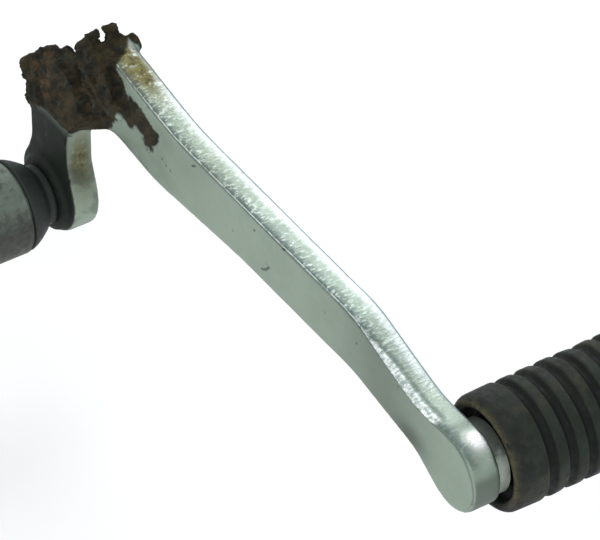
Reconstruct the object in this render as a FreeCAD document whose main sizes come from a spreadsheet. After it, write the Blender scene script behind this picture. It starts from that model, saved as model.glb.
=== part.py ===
import FreeCAD, Part
import math
import os
import Sketcher
from FreeCAD import Placement, Rotation, Vector

# Foot gear shift lever of a motorcycle: a flat bell crank that turns on a shouldered bolt, with a
# rubber covered toe peg on its long arm and a booted ball joint on its short arm.
# Millimetres. +X runs along the long arm to the toe peg, +Y points at the motorcycle's frame,
# +Z is up. The origin is on the pivot axis, where the bolt's shoulder seats on the frame.

doc = FreeCAD.newDocument("gear_shift_lever")
sheet = doc.addObject("Spreadsheet::Sheet", "Sizes")

SIZES = [
    # the pivot, from the frame outwards
    ("thread_radius", 3.0),
    ("thread_length", 7.0),
    ("thread_chamfer", 0.6),
    ("shoulder_radius", 4.0),
    ("shoulder_length", 9.2),
    ("bolt_head_radius", 6.2),
    ("bolt_head_height", 1.3),
    ("bolt_head_round", 0.9),
    ("socket_width", 4.0),
    ("socket_depth", 0.8),
    ("washer_radius", 6.6),
    ("washer_bore", 4.08),
    ("washer_height", 0.6),
    ("inner_washer_height", 0.9),
    ("spring_washer_height", 0.7),
    ("spring_washer_sheet", 0.4),
    ("side_play", 0.1),
    ("bush_radius", 5.0),
    ("bush_bore", 4.05),
    ("bush_overhang", 0.4),
    ("seal_radius", 6.2),
    # the bell crank
    ("plate_thickness", 6.0),
    ("plate_round", 0.6),
    ("elbow_left", 17.2),
    ("elbow_left_z", 5.2),
    ("elbow_top_x", 9.3),
    ("elbow_top_z", 19.6),
    ("notch_x", 8.9),
    ("notch_z", 3.2),
    ("notch_radius", 2.3),
    ("sweep_x", 38.0),
    ("sweep_top", 14.1),
    ("crest_x", 98.5),
    ("crest_top", 14.9),
    ("dip_x", 118.5),
    ("dip_top", 9.1),
    ("dip_bottom", 1.7),
    ("crest_bottom", 1.6),
    ("middle_x", 60.0),
    ("middle_bottom", 0.8),
    ("heel_x", 30.0),
    ("heel_bottom", 1.9),
    ("crotch_x", 14.5),
    ("crotch_bottom", 0.1),
    ("crotch_low_x", 3.0),
    ("crotch_low_z", 12.8),
    ("waist_right", 3.2),
    ("waist_right_z", 22.3),
    ("waist_left_z", 21.7),
    ("joint_end_x", 11.1),
    ("joint_end_z", 31.5),
    ("joint_end_radius", 10.2),
    ("joint_x", 11.4),
    ("joint_z", 33.7),
    ("joint_pad_radius", 6.9),
    ("elbow_left_round", 2.5),
    ("elbow_top_round", 4.0),
    ("sweep_round", 60.0),
    ("crest_round", 30.0),
    ("dip_round", 25.0),
    ("dip_low_round", 14.0),
    ("heel_round", 30.0),
    ("crotch_round", 9.0),
    ("crotch_low_round", 7.0),
    ("waist_round", 8.0),
    ("joint_pad_height", 1.2),
    # the toe peg
    ("peg_x", 128.9),
    ("peg_z", 1.5),
    ("peg_end_radius", 8.1),
    ("pin_tail_radius", 4.0),
    ("pin_tail_length", 4.5),
    ("pin_radius", 5.0),
    ("pin_length", 37.0),
    ("pin_barb_radius", 5.6),
    ("pin_barb_pitch", 8.0),
    ("pin_barb_length", 2.0),
    ("toe_washer_radius", 7.2),
    ("toe_washer_height", 2.3),
    ("rubber_radius", 11.3),
    ("rubber_length", 40.0),
    ("rubber_gap", 1.2),
    ("rubber_recess_radius", 9.0),
    ("rubber_recess_depth", 2.6),
    ("rubber_round", 2.2),
    ("groove_start", 6.9),
    ("groove_pitch", 4.2),
    ("groove_width", 2.0),
    ("groove_depth", 1.0),
    # the ball joint, along its stud
    ("ball_radius", 5.0),
    ("ball_reach", 12.7),
    ("stud_neck_radius", 2.6),
    ("stud_collar_radius", 5.2),
    ("stud_collar_height", 1.4),
    ("stud_thread_radius", 3.0),
    ("stud_tail", 2.6),
    ("nut_width", 10.0),
    ("nut_height", 2.0),
    ("housing_radius", 9.8),
    ("housing_front", 7.0),
    ("housing_back", 21.6),
    ("housing_chamfer", 0.7),
    ("spigot_radius", 8.2),
    ("spigot_height", 1.0),
    ("mouth_radius", 5.2),
    ("seat_radius", 7.2),
    ("seat_clearance", 0.05),
    ("seat_front", 9.5),
    ("seat_length", 8.8),
    ("seat_mouth", 4.55),
    ("spring_height", 0.7),
    ("spring_sheet", 0.4),
    ("cap_height", 1.2),
    ("ring_height", 0.8),
    ("ring_inner", 5.9),
    ("ring_outer", 7.7),
    ("shank_radius", 4.75),
    ("shank_length", 23.0),
    ("shank_root", 8.0),
    ("shank_bore", 2.5),
    ("shank_bore_length", 12.0),
    ("shank_flats", 8.0),
    ("shank_flat_length", 7.0),
    ("boot_neck_radius", 6.3),
    ("boot_neck_bore", 5.75),
    ("boot_neck_end", 1.5),
    ("boot_base_radius", 9.6),
    ("boot_base_bore", 8.75),
    ("boot_gap", 0.1),
    ("boot_sheet", 0.9),
    ("neck_ring_bore", 5.25),
    ("neck_ring_height", 0.7),
    ("base_ring_height", 0.7),
]
GROOVES = 7
BARBS = 4


def size(alias):
    return dict(SIZES)[alias]


def terms(text):
    """Split 'a + b*2 - c' into (sign, alias, factor); plain 0 has no terms."""
    found = []
    for word in text.replace("- ", "+ -").split("+ "):
        word = word.strip()
        if word in ("", "0"):
            continue
        sign = -1 if word.startswith("-") else 1
        alias, _, factor = word.lstrip("-").partition("*")
        found.append((sign, alias.strip(), float(factor or 1)))
    return found


def amount(text):
    return sum(sign * size(alias) * factor for sign, alias, factor in terms(text))


def bound(text):
    """The same sum as an expression on the spreadsheet's cells."""
    parts = ["%s Sizes.%s * %.9g" % ("-" if sign < 0 else "+", alias, factor)
             for sign, alias, factor in terms(text)]
    return "0 mm " + " ".join(part + " * 1 mm" for part in parts)


def bind(thing, path, text):
    thing.setExpression(path, bound(text))


def fill_sheet():
    for row, (alias, number) in enumerate(SIZES, 1):
        sheet.set("A%d" % row, alias)
        sheet.set("B%d" % row, "%g" % number)
        sheet.setAlias("B%d" % row, alias)
    doc.recompute()


def origin_plane(body, role):
    return next(item for item in body.Origin.OriginFeatures if item.Role == role)


def new_body(label):
    body = doc.addObject("PartDesign::Body", label)
    body.Label = label
    return body


def new_sketch(body, name, plane):
    sketch = body.newObject("Sketcher::SketchObject", name)
    sketch.AttachmentSupport = (origin_plane(body, plane), "")
    sketch.MapMode = "FlatFace"
    return sketch


def place_point(sketch, geometry, end, across, up):
    """Hold one point of a sketch at two bound distances from the sketch's origin."""
    for kind, text in (("DistanceX", across), ("DistanceY", up)):
        index = sketch.addConstraint(Sketcher.Constraint(kind, -1, 1, geometry, end, amount(text)))
        bind(sketch, "Constraints[%d]" % index, text)


def polygon(sketch, corners):
    points = [Vector(amount(across), amount(up), 0) for across, up in corners]
    count = len(points)
    first = len(sketch.Geometry)
    for index in range(count):
        sketch.addGeometry(Part.LineSegment(points[index], points[(index + 1) % count]), False)
    for index in range(count):
        following = first + (index + 1) % count
        sketch.addConstraint(Sketcher.Constraint("Coincident", first + index, 2, following, 1))
    for index, (across, up) in enumerate(corners):
        place_point(sketch, first + index, 1, across, up)


def circle(sketch, radius, across="0", up="0"):
    middle = Vector(amount(across), amount(up), 0)
    index = sketch.addGeometry(Part.Circle(middle, Vector(0, 0, 1), amount(radius)), False)
    place_point(sketch, index, 3, across, up)
    held = sketch.addConstraint(Sketcher.Constraint("Radius", index, amount(radius)))
    bind(sketch, "Constraints[%d]" % held, radius)


def set_place(thing, x="0", y="0", z="0"):
    """Bind the place of a sub-part to the spreadsheet."""
    for letter, text in (("x", x), ("y", y), ("z", z)):
        bind(thing, "Placement.Base." + letter, text)


def turned(label, profile, x="0", y="0", z="0"):
    """A ring or shaft turned about an axis along Y. The profile is (radius, distance along Y)."""
    body = new_body(label)
    sketch = new_sketch(body, label + "_profile", "XY_Plane")
    polygon(sketch, profile)
    feature = body.newObject("PartDesign::Revolution", label + "_turn")
    feature.Profile = sketch
    feature.ReferenceAxis = (sketch, ["V_Axis"])
    feature.Angle = 360
    set_place(body, x, y, z)
    doc.recompute()
    return body


def edges_of(shape, wanted):
    return ["Edge%d" % number for number, edge in enumerate(shape.Edges, 1) if wanted(edge)]


def dress(body, kind, prop, base, edges, text, name):
    """Add a fillet or chamfer to named edges of the body's last feature."""
    feature = body.newObject("PartDesign::" + kind, name)
    feature.Base = (base, edges)
    bind(feature, prop, text)
    doc.recompute()
    return feature


def rim(edge, y, radius):
    """True for a full circle of this radius at this Y of its body."""
    curve = edge.Curve
    if not isinstance(curve, Part.Circle):
        return False
    return abs(curve.Center.y - y) < 0.01 and abs(curve.Radius - radius) < 0.01


def across_plate(body, name, reach, midplane=False, cut=False):
    """Pad or pocket the last sketch of a body along Y."""
    kind = "PartDesign::Pocket" if cut else "PartDesign::Pad"
    feature = body.newObject(kind, name)
    feature.Profile = body.getObject(name + "_sketch")
    bind(feature, "Length", reach)
    feature.Midplane = midplane
    before = body.Shape.Volume if cut else 0.0
    doc.recompute()
    if cut and body.Shape.Volume > before - 0.01:
        raise RuntimeError(name + " cuts nothing")
    return feature


# --- the pivot: what stays on the motorcycle's frame -------------------------------------------

def make_pivot_bolt():
    body = turned("pivot_bolt", [
        ("0", "-shoulder_length - bolt_head_height"),
        ("bolt_head_radius", "-shoulder_length - bolt_head_height"),
        ("bolt_head_radius", "-shoulder_length"),
        ("shoulder_radius", "-shoulder_length"),
        ("shoulder_radius", "0"),
        ("thread_radius", "0"),
        ("thread_radius", "thread_length - thread_chamfer"),
        ("thread_radius - thread_chamfer", "thread_length"),
        ("0", "thread_length"),
    ])
    face = -amount("shoulder_length + bolt_head_height")
    crown = edges_of(body.Shape, lambda edge: rim(edge, face, size("bolt_head_radius")))
    dress(body, "Fillet", "Radius", body.Tip, crown, "bolt_head_round", "crown")
    sketch = new_sketch(body, "socket_sketch", "XZ_Plane")
    bind(sketch, "AttachmentOffset.Base.z", "shoulder_length + bolt_head_height")
    corner = 0.5 / math.cos(math.radians(30))
    half = 0.5 * math.tan(math.radians(30))
    polygon(sketch, [
        ("socket_width*%g" % corner, "0"),
        ("socket_width*%g" % half, "socket_width*0.5"),
        ("-socket_width*%g" % half, "socket_width*0.5"),
        ("-socket_width*%g" % corner, "0"),
        ("-socket_width*%g" % half, "-socket_width*0.5"),
        ("socket_width*%g" % half, "-socket_width*0.5"),
    ])
    across_plate(body, "socket", "socket_depth", cut=True)
    return body


def flat_ring(label, inner, outer, low, high, x="0", y="0", z="0"):
    """A plain washer between two distances along Y."""
    return turned(label, [(inner, low), (outer, low), (outer, high), (inner, high)], x, y, z)


def cone_washer(label, inner, outer, low, rise, sheet_gauge, x="0", y="0", z="0"):
    """A conical spring washer: its outer rim rests at low, its inner rim at low + rise."""
    return turned(label, [
        (outer, low),
        (outer, "%s + %s" % (low, sheet_gauge)),
        (inner, "%s + %s" % (low, rise)),
        (inner, "%s + %s - %s" % (low, rise, sheet_gauge)),
    ], x, y, z)


PLATE_FAR = "-inner_washer_height - spring_washer_height - side_play - bush_overhang"
PLATE_NEAR = PLATE_FAR + " - plate_thickness"


def make_pivot():
    bolt = make_pivot_bolt()
    outer = flat_ring("pivot_washer_outer", "washer_bore", "washer_radius",
                      "-shoulder_length", "-shoulder_length + washer_height")
    inner = flat_ring("pivot_washer_inner", "washer_bore", "washer_radius", "-inner_washer_height", "0")
    spring = cone_washer("pivot_spring_washer", "washer_bore", "washer_radius",
                         "-inner_washer_height - spring_washer_height",
                         "spring_washer_height", "spring_washer_sheet")
    bush = flat_ring("pivot_bush", "bush_bore", "bush_radius",
                     PLATE_NEAR + " - bush_overhang", PLATE_FAR + " + bush_overhang")
    seals = [
        flat_ring("pivot_seal_outer", "bush_radius", "seal_radius",
                  PLATE_NEAR + " - bush_overhang", PLATE_NEAR),
        flat_ring("pivot_seal_inner", "bush_radius", "seal_radius",
                  PLATE_FAR, PLATE_FAR + " + bush_overhang"),
    ]
    return [bolt, outer, inner, spring, bush] + seals


# --- the bell crank ----------------------------------------------------------------------------

def tangent(corner, centre, radius, turn):
    """Corner of the outline where a line from another corner touches a round end."""
    from_x = amount(corner[0]) - amount(centre[0])
    from_z = amount(corner[1]) - amount(centre[1])
    away = math.atan2(from_z, from_x)
    angle = away + turn * math.acos(size(radius) / math.hypot(from_x, from_z))
    return ("%s + %s*%.9f" % (centre[0], radius, math.cos(angle)),
            "%s + %s*%.9f" % (centre[1], radius, math.sin(angle)), "")


def arm_outline():
    """Corners of the plate as (across, up, rounding), clockwise from the elbow."""
    peg = ("peg_x", "peg_z")
    joint = ("-joint_end_x", "-joint_end_z")
    dip_top = ("dip_x", "dip_top", "dip_round")
    dip_low = ("dip_x", "-dip_bottom", "dip_low_round")
    waist_right = ("-waist_right", "-waist_right_z", "waist_round")
    waist_left = ("-elbow_left", "-waist_left_z", "waist_round")
    return [
        ("-elbow_left", "-elbow_left_z", "elbow_left_round"),
        ("elbow_top_x", "elbow_top_z", "elbow_top_round"),
        ("sweep_x", "sweep_top", "sweep_round"),
        ("crest_x", "crest_top", "crest_round"),
        dip_top,
        tangent(dip_top, peg, "peg_end_radius", -1),
        tangent(dip_low, peg, "peg_end_radius", 1),
        dip_low,
        ("crest_x", "crest_bottom", "crest_round"),
        ("middle_x", "middle_bottom", ""),
        ("heel_x", "-heel_bottom", "heel_round"),
        ("crotch_x", "-crotch_bottom", "crotch_round"),
        ("-crotch_low_x", "-crotch_low_z", "crotch_low_round"),
        waist_right,
        tangent(waist_right, joint, "joint_end_radius", -1),
        tangent(waist_left, joint, "joint_end_radius", 1),
        waist_left,
    ]


def upright_edge(edge, x, z):
    """True for an edge that runs across the plate at this X and Z."""
    first = edge.Vertexes[0].Point
    last = edge.Vertexes[-1].Point
    across = abs(first.x - last.x) + abs(first.z - last.z) < 0.001
    return across and math.hypot(first.x - x, first.z - z) < 0.05


def make_lever_arm():
    body = new_body("lever_arm")
    outline = arm_outline()
    polygon(new_sketch(body, "plate_sketch", "XZ_Plane"), [corner[:2] for corner in outline])
    across_plate(body, "plate", "plate_thickness", midplane=True)
    for number, (across, up, rounding) in enumerate(outline):
        if rounding:
            x, z = amount(across), amount(up)
            edge = edges_of(body.Shape, lambda item: upright_edge(item, x, z))
            dress(body, "Fillet", "Radius", body.Tip, edge, rounding, "corner_%02d" % number)
    ends = new_sketch(body, "ends_sketch", "XZ_Plane")
    circle(ends, "peg_end_radius", "peg_x", "peg_z")
    circle(ends, "joint_end_radius", "-joint_end_x", "-joint_end_z")
    across_plate(body, "ends", "plate_thickness", midplane=True)
    half = size("plate_thickness") / 2

    def on_face(edge):
        points = [edge.valueAt(edge.FirstParameter + (edge.LastParameter - edge.FirstParameter) * part)
                  for part in (0.0, 0.4, 1.0)]
        level = all(abs(abs(point.y) - half) < 0.001 for point in points)
        return level and abs(points[0].y - points[2].y) < 0.001

    dress(body, "Fillet", "Radius", body.Tip, edges_of(body.Shape, on_face), "plate_round", "rounded")
    circle(new_sketch(body, "notch_sketch", "XZ_Plane"), "notch_radius", "-notch_x", "notch_z")
    across_plate(body, "notch", "plate_thickness*2", midplane=True, cut=True)
    pad = new_sketch(body, "pad_sketch", "XZ_Plane")
    circle(pad, "joint_pad_radius", "-joint_x", "-joint_z")
    across_plate(body, "pad", "plate_thickness*0.5 + joint_pad_height")
    face = -half - size("joint_pad_height")
    crest = edges_of(body.Shape, lambda edge: rim(edge, face, size("joint_pad_radius")))
    dress(body, "Fillet", "Radius", body.Tip, crest, "plate_round", "pad_round")
    holes = new_sketch(body, "holes_sketch", "XZ_Plane")
    circle(holes, "bush_radius")
    circle(holes, "stud_thread_radius", "-joint_x", "-joint_z")
    across_plate(body, "holes", "plate_thickness*4", midplane=True, cut=True)
    tail = new_sketch(body, "tail_sketch", "XZ_Plane")
    bind(tail, "AttachmentOffset.Base.z", "pin_tail_length - plate_thickness*0.5")
    circle(tail, "pin_tail_radius", "peg_x", "peg_z")
    across_plate(body, "tail", "pin_tail_length*2", cut=True)
    set_place(body, y=PLATE_FAR + " - plate_thickness*0.5")
    doc.recompute()
    return body


# --- the toe peg -------------------------------------------------------------------------------

def make_toe_pin():
    profile = [
        ("0", "-pin_tail_length"),
        ("pin_tail_radius", "-pin_tail_length"),
        ("pin_tail_radius", "0"),
        ("pin_radius", "0"),
    ]
    for barb in range(BARBS):
        start = "pin_barb_pitch*%g" % (barb + 1)
        profile += [
            ("pin_radius", start),
            ("pin_barb_radius", start),
            ("pin_radius", start + " + pin_barb_length"),
        ]
    profile += [
        ("pin_radius", "pin_length - thread_chamfer"),
        ("pin_radius - thread_chamfer", "pin_length"),
        ("0", "pin_length"),
    ]
    return turned("toe_pin", profile, "peg_x", PLATE_FAR, "peg_z")


def make_toe_rubber():
    """A ribbed sleeve with a closed outer end, moulded round the pin and its barbs."""
    outer = [("rubber_radius - rubber_round", "rubber_gap"), ("rubber_radius", "rubber_gap + rubber_round")]
    for groove in range(GROOVES):
        start = "rubber_gap + groove_start + groove_pitch*%g" % groove
        outer += [
            ("rubber_radius", start),
            ("rubber_radius - groove_depth", start),
            ("rubber_radius - groove_depth", start + " + groove_width"),
            ("rubber_radius", start + " + groove_width"),
        ]
    outer += [
        ("rubber_radius", "rubber_gap + rubber_length - rubber_round"),
        ("rubber_radius - rubber_round", "rubber_gap + rubber_length"),
        ("0", "rubber_gap + rubber_length"),
        ("0", "pin_length"),
        ("pin_radius - thread_chamfer", "pin_length"),
        ("pin_radius", "pin_length - thread_chamfer"),
    ]
    for barb in reversed(range(BARBS)):
        start = "pin_barb_pitch*%g" % (barb + 1)
        outer += [
            ("pin_radius", start + " + pin_barb_length"),
            ("pin_barb_radius", start),
            ("pin_radius", start),
        ]
    outer += [
        ("pin_radius", "rubber_gap + rubber_recess_depth"),
        ("rubber_recess_radius", "rubber_gap + rubber_recess_depth"),
        ("rubber_recess_radius", "rubber_gap"),
    ]
    return turned("toe_rubber", outer, "peg_x", PLATE_FAR, "peg_z")


def make_toe_peg():
    washer = flat_ring("toe_washer", "pin_radius", "toe_washer_radius", "0", "toe_washer_height",
                       "peg_x", PLATE_FAR, "peg_z")
    return [make_toe_pin(), washer, make_toe_rubber()]


# --- the ball joint ----------------------------------------------------------------------------
# Its sub-parts are measured from the pad on the arm, along -Y. The ball's centre is ball_reach away.

PAD_FACE = PLATE_NEAR + " - joint_pad_height"
JOINT = ("-joint_x", PAD_FACE, "-joint_z")


def make_ball_stud():
    body = turned("ball_stud", [
        ("0", "-ball_reach"),
        ("stud_neck_radius", "-ball_reach"),
        ("stud_neck_radius", "-stud_collar_height"),
        ("stud_collar_radius", "-stud_collar_height"),
        ("stud_collar_radius", "0"),
        ("stud_thread_radius", "0"),
        ("stud_thread_radius", "plate_thickness + joint_pad_height + stud_tail - thread_chamfer"),
        ("stud_thread_radius - thread_chamfer", "plate_thickness + joint_pad_height + stud_tail"),
        ("0", "plate_thickness + joint_pad_height + stud_tail"),
    ], *JOINT)
    ball = body.newObject("PartDesign::AdditiveSphere", "ball")
    bind(ball, "Radius", "ball_radius")
    bind(ball, "Placement.Base.y", "-ball_reach")
    doc.recompute()
    return body


def make_stud_nut():
    nut = doc.addObject("Part::Prism", "nut_blank")
    nut.Polygon = 6
    bind(nut, "Circumradius", "nut_width*%g" % (0.5 / math.cos(math.radians(30))))
    bind(nut, "Height", "nut_height")
    bore = doc.addObject("Part::Cylinder", "nut_bore")
    bind(bore, "Radius", "stud_thread_radius")
    bind(bore, "Height", "nut_height")
    cut = doc.addObject("Part::Cut", "stud_nut")
    cut.Base = nut
    cut.Tool = bore
    cut.Label = "stud_nut"
    cut.Placement = Placement(Vector(), Rotation(Vector(1, 0, 0), -90))
    set_place(cut, "-joint_x", PLATE_FAR, "-joint_z")
    doc.recompute()
    return cut


def make_joint_housing():
    """A turned cup with a shank that leaves it along -X and takes the end of the shift rod."""
    body = turned("joint_housing", [
        ("mouth_radius", "-housing_front + spigot_height"),
        ("spigot_radius", "-housing_front + spigot_height"),
        ("spigot_radius", "-housing_front"),
        ("housing_radius - housing_chamfer", "-housing_front"),
        ("housing_radius", "-housing_front - housing_chamfer"),
        ("housing_radius", "-housing_back + housing_chamfer"),
        ("housing_radius - housing_chamfer", "-housing_back"),
        ("seat_radius", "-housing_back"),
        ("seat_radius", "-seat_front - seat_length - spring_height - cap_height - ring_height"),
        ("ring_outer", "-seat_front - seat_length - spring_height - cap_height - ring_height"),
        ("ring_outer", "-seat_front - seat_length - spring_height - cap_height"),
        ("seat_radius", "-seat_front - seat_length - spring_height - cap_height"),
        ("seat_radius", "-seat_front"),
        ("mouth_radius", "-seat_front"),
    ], *JOINT)
    shank = new_sketch(body, "shank_sketch", "YZ_Plane")
    bind(shank, "AttachmentOffset.Base.z", "-shank_length")
    circle(shank, "shank_radius", "-ball_reach")
    across_plate(body, "shank", "shank_length - shank_root")
    bore = new_sketch(body, "shank_bore_sketch", "YZ_Plane")
    bind(bore, "AttachmentOffset.Base.z", "-shank_length + shank_bore_length")
    circle(bore, "shank_bore", "-ball_reach")
    across_plate(body, "shank_bore", "shank_bore_length*2", cut=True)
    flats = new_sketch(body, "flats_sketch", "YZ_Plane")
    bind(flats, "AttachmentOffset.Base.z", "-shank_length + shank_flat_length")
    for side in (1, -1):
        inner = "shank_flats*%g" % (0.5 * side)
        outer = "shank_flats*%g" % (1.0 * side)
        polygon(flats, [
            ("-ball_reach - shank_flats", inner),
            ("-ball_reach + shank_flats", inner),
            ("-ball_reach + shank_flats", outer),
            ("-ball_reach - shank_flats", outer),
        ])
    across_plate(body, "flats", "shank_flat_length*2", cut=True)
    return body


def make_ball_seat():
    body = turned("ball_seat", [
        ("0", "-seat_front - seat_length"),
        ("seat_radius", "-seat_front - seat_length"),
        ("seat_radius", "-seat_front"),
        ("seat_mouth", "-seat_front"),
        ("0", "-ball_reach"),
    ], *JOINT)
    cavity = body.newObject("PartDesign::SubtractiveSphere", "cavity")
    bind(cavity, "Radius", "ball_radius + seat_clearance")
    bind(cavity, "Placement.Base.y", "-ball_reach")
    doc.recompute()
    return body


def make_dust_boot():
    return turned("dust_boot", [
        ("boot_neck_bore", "-boot_gap"),
        ("boot_neck_radius", "-boot_gap"),
        ("boot_neck_radius", "-boot_neck_end"),
        ("boot_base_radius", "-housing_front + spigot_height"),
        ("boot_base_radius", "-housing_front"),
        ("boot_base_bore", "-housing_front"),
        ("boot_base_bore", "-housing_front + spigot_height"),
        ("boot_neck_bore", "-boot_neck_end - boot_sheet*0.4"),
    ], *JOINT)


def make_ball_joint():
    cap_front = "-seat_front - seat_length - spring_height"
    spring = cone_washer("preload_spring", "stud_neck_radius", "seat_radius",
                         cap_front, "spring_height", "spring_sheet", *JOINT)
    cap = flat_ring("end_cap", "0", "seat_radius", cap_front + " - cap_height", cap_front, *JOINT)
    ring = flat_ring("cap_snap_ring", "ring_inner", "ring_outer",
                     cap_front + " - cap_height - ring_height", cap_front + " - cap_height", *JOINT)
    neck_ring = flat_ring("boot_neck_ring", "neck_ring_bore", "boot_neck_bore",
                          "-boot_gap*4 - neck_ring_height", "-boot_gap*4", *JOINT)
    base_ring = flat_ring("boot_base_ring", "spigot_radius", "boot_base_bore",
                          "-housing_front", "-housing_front + base_ring_height", *JOINT)
    return [make_ball_stud(), make_stud_nut(), make_joint_housing(), make_ball_seat(), spring,
            cap, ring, make_dust_boot(), neck_ring, base_ring]


def check(parts):
    for item in doc.Objects:
        if "Invalid" in item.State or "Error" in item.State:
            raise RuntimeError("%s is %s" % (item.Name, item.State))
    for part in parts:
        if part.Shape.isNull() or not part.Shape.isValid():
            raise RuntimeError(part.Label + " has no valid shape")


fill_sheet()
PARTS = make_pivot() + [make_lever_arm()] + make_toe_peg() + make_ball_joint()
doc.recompute()
check(PARTS)
os.makedirs("parts", exist_ok=True)
for part in PARTS:
    part.Shape.exportStep("parts/%s.step" % part.Label)
    box = part.Shape.BoundBox
    print("%-22s %9.1f mm3  solids %d  x %.1f %.1f  y %.1f %.1f  z %.1f %.1f" % (
        part.Label, part.Shape.Volume, len(part.Shape.Solids),
        box.XMin, box.XMax, box.YMin, box.YMax, box.ZMin, box.ZMax))
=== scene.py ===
import bpy
import bmesh
import math
import numpy as np
from mathutils import Matrix, Vector, noise


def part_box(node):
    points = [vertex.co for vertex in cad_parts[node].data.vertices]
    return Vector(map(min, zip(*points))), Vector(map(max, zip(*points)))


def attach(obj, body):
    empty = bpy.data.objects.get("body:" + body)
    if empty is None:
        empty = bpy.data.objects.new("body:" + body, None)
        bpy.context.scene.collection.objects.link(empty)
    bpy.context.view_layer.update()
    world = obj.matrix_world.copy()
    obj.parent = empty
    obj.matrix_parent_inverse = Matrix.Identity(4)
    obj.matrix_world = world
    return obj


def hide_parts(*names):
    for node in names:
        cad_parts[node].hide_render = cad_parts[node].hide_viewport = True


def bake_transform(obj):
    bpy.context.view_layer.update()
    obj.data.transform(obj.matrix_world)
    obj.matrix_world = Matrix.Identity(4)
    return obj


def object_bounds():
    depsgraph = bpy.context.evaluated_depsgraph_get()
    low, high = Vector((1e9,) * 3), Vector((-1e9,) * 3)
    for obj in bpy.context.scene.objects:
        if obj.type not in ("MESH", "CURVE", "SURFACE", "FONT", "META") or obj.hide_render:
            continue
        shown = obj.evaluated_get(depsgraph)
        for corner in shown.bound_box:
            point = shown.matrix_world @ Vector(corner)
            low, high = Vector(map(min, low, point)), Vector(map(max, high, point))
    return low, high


# Looks of a worn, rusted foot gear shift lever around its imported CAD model. Metres, in the row frame:
# +X along the long arm to the toe peg, +Y towards the motorcycle's frame, +Z up, pivot axis on the Y axis.

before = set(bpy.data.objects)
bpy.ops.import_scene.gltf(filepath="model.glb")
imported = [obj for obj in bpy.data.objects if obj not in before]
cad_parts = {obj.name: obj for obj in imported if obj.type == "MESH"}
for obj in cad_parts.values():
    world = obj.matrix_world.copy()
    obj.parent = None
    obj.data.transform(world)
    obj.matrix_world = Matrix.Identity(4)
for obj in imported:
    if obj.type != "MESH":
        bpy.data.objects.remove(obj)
CAD_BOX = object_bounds()
MM = 0.001


def middle(node):
    low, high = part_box(node)
    return (low + high) / 2


PLATE_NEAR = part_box("pivot_seal_outer")[1].y
PLATE_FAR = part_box("pivot_seal_inner")[0].y
PLATE_MID = (PLATE_NEAR + PLATE_FAR) / 2
PEG = middle("toe_rubber")
JOINT = middle("dust_boot")
BUSH_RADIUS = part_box("pivot_bush")[1].x


# --- mesh helpers ------------------------------------------------------------------------------

def on_plate(x, y, z):
    """A point given in millimetres from the pivot at the middle of the plate's thickness."""
    return Vector((x * MM, PLATE_MID + y * MM, z * MM))


def link(name, mesh):
    piece = bpy.data.objects.new(name, mesh)
    bpy.context.scene.collection.objects.link(piece)
    return piece


def from_bmesh(name, form):
    bmesh.ops.recalc_face_normals(form, faces=form.faces)
    mesh = bpy.data.meshes.new(name)
    form.to_mesh(mesh)
    form.free()
    return link(name, mesh)


def add_lump(form, centre, radii, detail=3):
    """Add a closed ellipsoid to a bmesh."""
    place = Matrix.Translation(centre) @ Matrix.Diagonal((*radii, 1.0))
    bmesh.ops.create_icosphere(form, subdivisions=detail, radius=1.0, matrix=place)


def add_slab(form, outline, near, far):
    """Add a closed slab to a bmesh: an outline in X and Z, in millimetres, between two depths."""
    loops = []
    for depth in (near, far):
        loops.append([form.verts.new(on_plate(x, depth, z)) for x, z in outline])
    form.faces.new(loops[0])
    form.faces.new(list(reversed(loops[1])))
    count = len(outline)
    for index in range(count):
        after = (index + 1) % count
        form.faces.new((loops[0][index], loops[1][index], loops[1][after], loops[0][after]))


def add_rod(form, start, end, radius, sides):
    """Add a closed cylinder between two points to a bmesh."""
    axis = end - start
    turn = axis.to_track_quat("Z", "Y").to_matrix().to_4x4()
    place = Matrix.Translation((start + end) / 2) @ turn
    bmesh.ops.create_cone(form, cap_ends=True, segments=sides, radius1=radius, radius2=radius,
                          depth=axis.length, matrix=place)


def apply_modifiers(piece):
    """Turn a piece's modifiers into its mesh."""
    graph = bpy.context.evaluated_depsgraph_get()
    mesh = bpy.data.meshes.new_from_object(piece.evaluated_get(graph))
    piece.modifiers.clear()
    piece.data = mesh


def remesh(piece, voxel, smooth=0):
    modifier = piece.modifiers.new("remesh", "REMESH")
    modifier.mode = "VOXEL"
    modifier.voxel_size = voxel
    if smooth:
        relax = piece.modifiers.new("relax", "SMOOTH")
        relax.iterations = smooth
        relax.factor = 0.5
    apply_modifiers(piece)


def subtract(piece, form, overlapping=False):
    """Cut the closed shells of a bmesh out of a piece."""
    tool = from_bmesh("tool", form)
    modifier = piece.modifiers.new("cut", "BOOLEAN")
    modifier.operation = "DIFFERENCE"
    modifier.solver = "EXACT"
    modifier.use_self = overlapping
    modifier.object = tool
    apply_modifiers(piece)
    bpy.data.objects.remove(tool)


def points_of(mesh):
    """The mesh's vertices as an array of rows of X, Y and Z."""
    found = np.zeros(len(mesh.vertices) * 3, np.float32)
    mesh.vertices.foreach_get("co", found)
    return found.reshape(-1, 3).astype(float)


def normals_of(mesh):
    found = np.zeros(len(mesh.vertices) * 3, np.float32)
    mesh.vertices.foreach_get("normal", found)
    return found.reshape(-1, 3).astype(float)


def set_points(mesh, points):
    mesh.vertices.foreach_set("co", points.astype(np.float32).ravel())
    mesh.update()


def set_mask(mesh, name, values):
    """Store one number per vertex under a name, for a material to read."""
    layer = mesh.attributes.new(name, "FLOAT", "POINT")
    layer.data.foreach_set("value", np.asarray(values, np.float32))


def set_smooth(mesh):
    mesh.polygons.foreach_set("use_smooth", [True] * len(mesh.polygons))


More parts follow.
